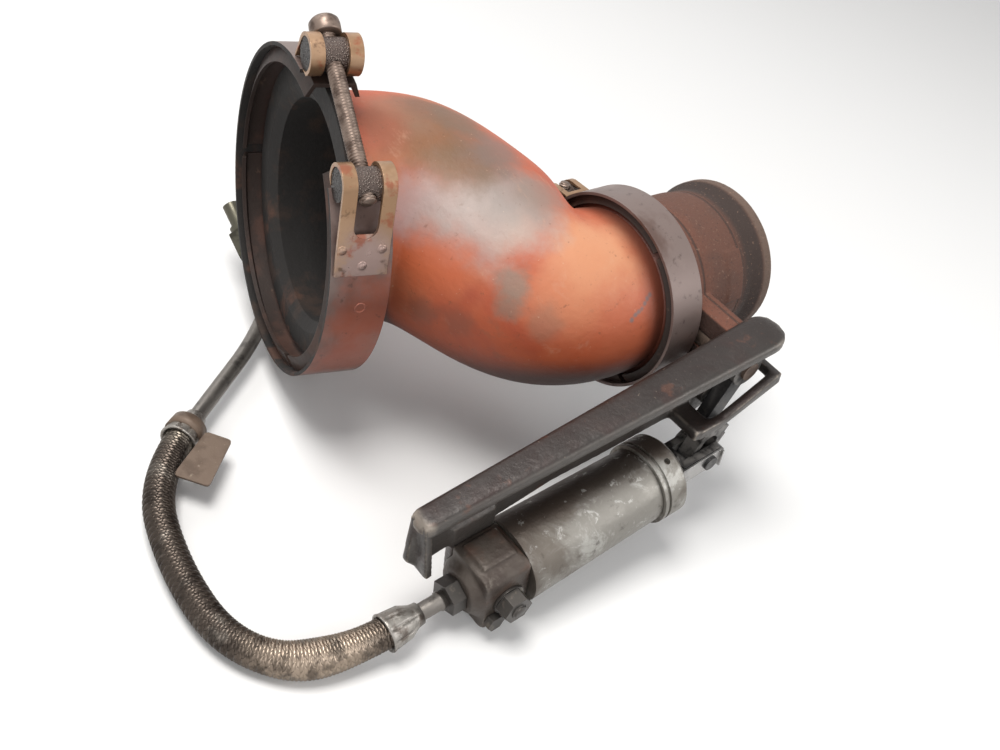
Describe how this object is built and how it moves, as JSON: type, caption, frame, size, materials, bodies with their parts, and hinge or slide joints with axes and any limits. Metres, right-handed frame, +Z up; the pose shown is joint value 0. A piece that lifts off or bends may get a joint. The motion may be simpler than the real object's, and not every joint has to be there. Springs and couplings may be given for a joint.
{
  "type": "exhaust brake",
  "caption": "Exhaust brake: reducer elbow clamped to a butterfly valve housing, bracket arm, air cylinder with fork and lever, and a braided air line.",
  "frame": {"origin": "centre of the valve housing's flange face on the turbocharger side, on the pipe axis", "axes": "+X along the valve bore, out of the flange towards the turbocharger; +Z up, at right angles to the butterfly shaft; +Y along the shaft, away from the lever side"},
  "size_m": [0.3164, 0.2939, 0.1938],
  "materials": {
    "heat_scaled_steel": "heat-scaled and rusted, matte",
    "band_steel": "heat-tinted strip, satin",
    "sooty_steel": "dark scale",
    "loop_steel": "bronze heat tint",
    "bolt_steel": "weathered plating",
    "cast_housing": "rusted sand casting",
    "valve_steel": "sooty steel",
    "lever_steel": "black oxide",
    "clip_steel": "bright spring steel",
    "cast_bracket": "dark, worn edges",
    "screw_steel": "oily dark steel",
    "cast_aluminium": "stained casting",
    "head_aluminium": "soiled casting",
    "rod_chrome": "ground rod",
    "seal_rubber": "black",
    "zinc_steel": "zinc plated, dented",
    "braid": "woven stainless wire",
    "tube_steel": "grey steel tube",
    "fitting_brass": "tarnished brass",
    "tag_steel": "tan, dusty"
  },
  "bodies": {
    "valve": {"butterfly_shaft": "valve_steel", "flap_disc": "valve_steel", "flap_screws": "valve_steel", "lever": "lever_steel", "lever_cross_pin": "lever_steel"},
    "ram": {"piston": "cast_aluminium", "piston_seal": "seal_rubber", "piston_rod": "rod_chrome", "rod_fork": "lever_steel", "fork_pin": "lever_steel", "spring_clip": "clip_steel"},
    "frame": {"elbow_pipe": "heat_scaled_steel", "mouth_band": "band_steel", "neck_band": "band_steel", "mouth_retainer_1": "sooty_steel", "mouth_retainer_2": "sooty_steel", "mouth_retainer_3": "sooty_steel", "neck_retainer_1": "sooty_steel", "neck_retainer_2": "sooty_steel", "neck_retainer_3": "sooty_steel", "neck_seal_ring": "sooty_steel", "mouth_lower_loop": "loop_steel", "mouth_upper_loop": "loop_steel", "neck_lower_loop": "loop_steel", "neck_upper_loop": "loop_steel", "mouth_lower_trunnion": "bolt_steel", "mouth_upper_trunnion": "bolt_steel", "mouth_t_bolt": "bolt_steel", "mouth_nut": "bolt_steel", "neck_lower_trunnion": "bolt_steel", "neck_upper_trunnion": "bolt_steel", "neck_t_bolt": "bolt_steel", "neck_nut": "bolt_steel", "valve_housing": "cast_housing", "near_bush": "valve_steel", "far_bush": "valve_steel", "far_cap": "valve_steel", "bracket_arm": "cast_bracket", "bracket_screws": "screw_steel", "head_stud": "screw_steel", "stud_nut": "screw_steel", "head_plug": "screw_steel", "cylinder_barrel": "cast_aluminium", "end_cap": "cast_aluminium", "head_block": "head_aluminium", "rod_wiper": "seal_rubber", "ferrule_a": "zinc_steel", "ferrule_b": "zinc_steel", "braided_hose": "braid", "air_tube_a": "tube_steel", "air_tube_b": "tube_steel", "inlet_nut": "fitting_brass", "union_nut": "fitting_brass", "inlet_nipple": "fitting_brass", "tag_plate": "tag_steel"}
  },
  "joints": [
    {"name": "flap_turn", "type": "hinge", "parent": "frame", "child": "valve", "pos_m": [-0.053, 0, 0], "axis": [0, -1, 0], "range_deg": [0, 57], "stiffness_Nm_per_rad": 0.9, "springref_deg": -12.03},
    {"name": "rod_stroke", "type": "slide", "parent": "frame", "child": "ram", "axis": [0.9848, 0, 0.1736], "range_m": [0, 0.0468]}
  ],
  "couplings": [
    {"joint": "rod_stroke", "follows": "flap_turn", "m_per_rad": 0.04696}
  ]
}
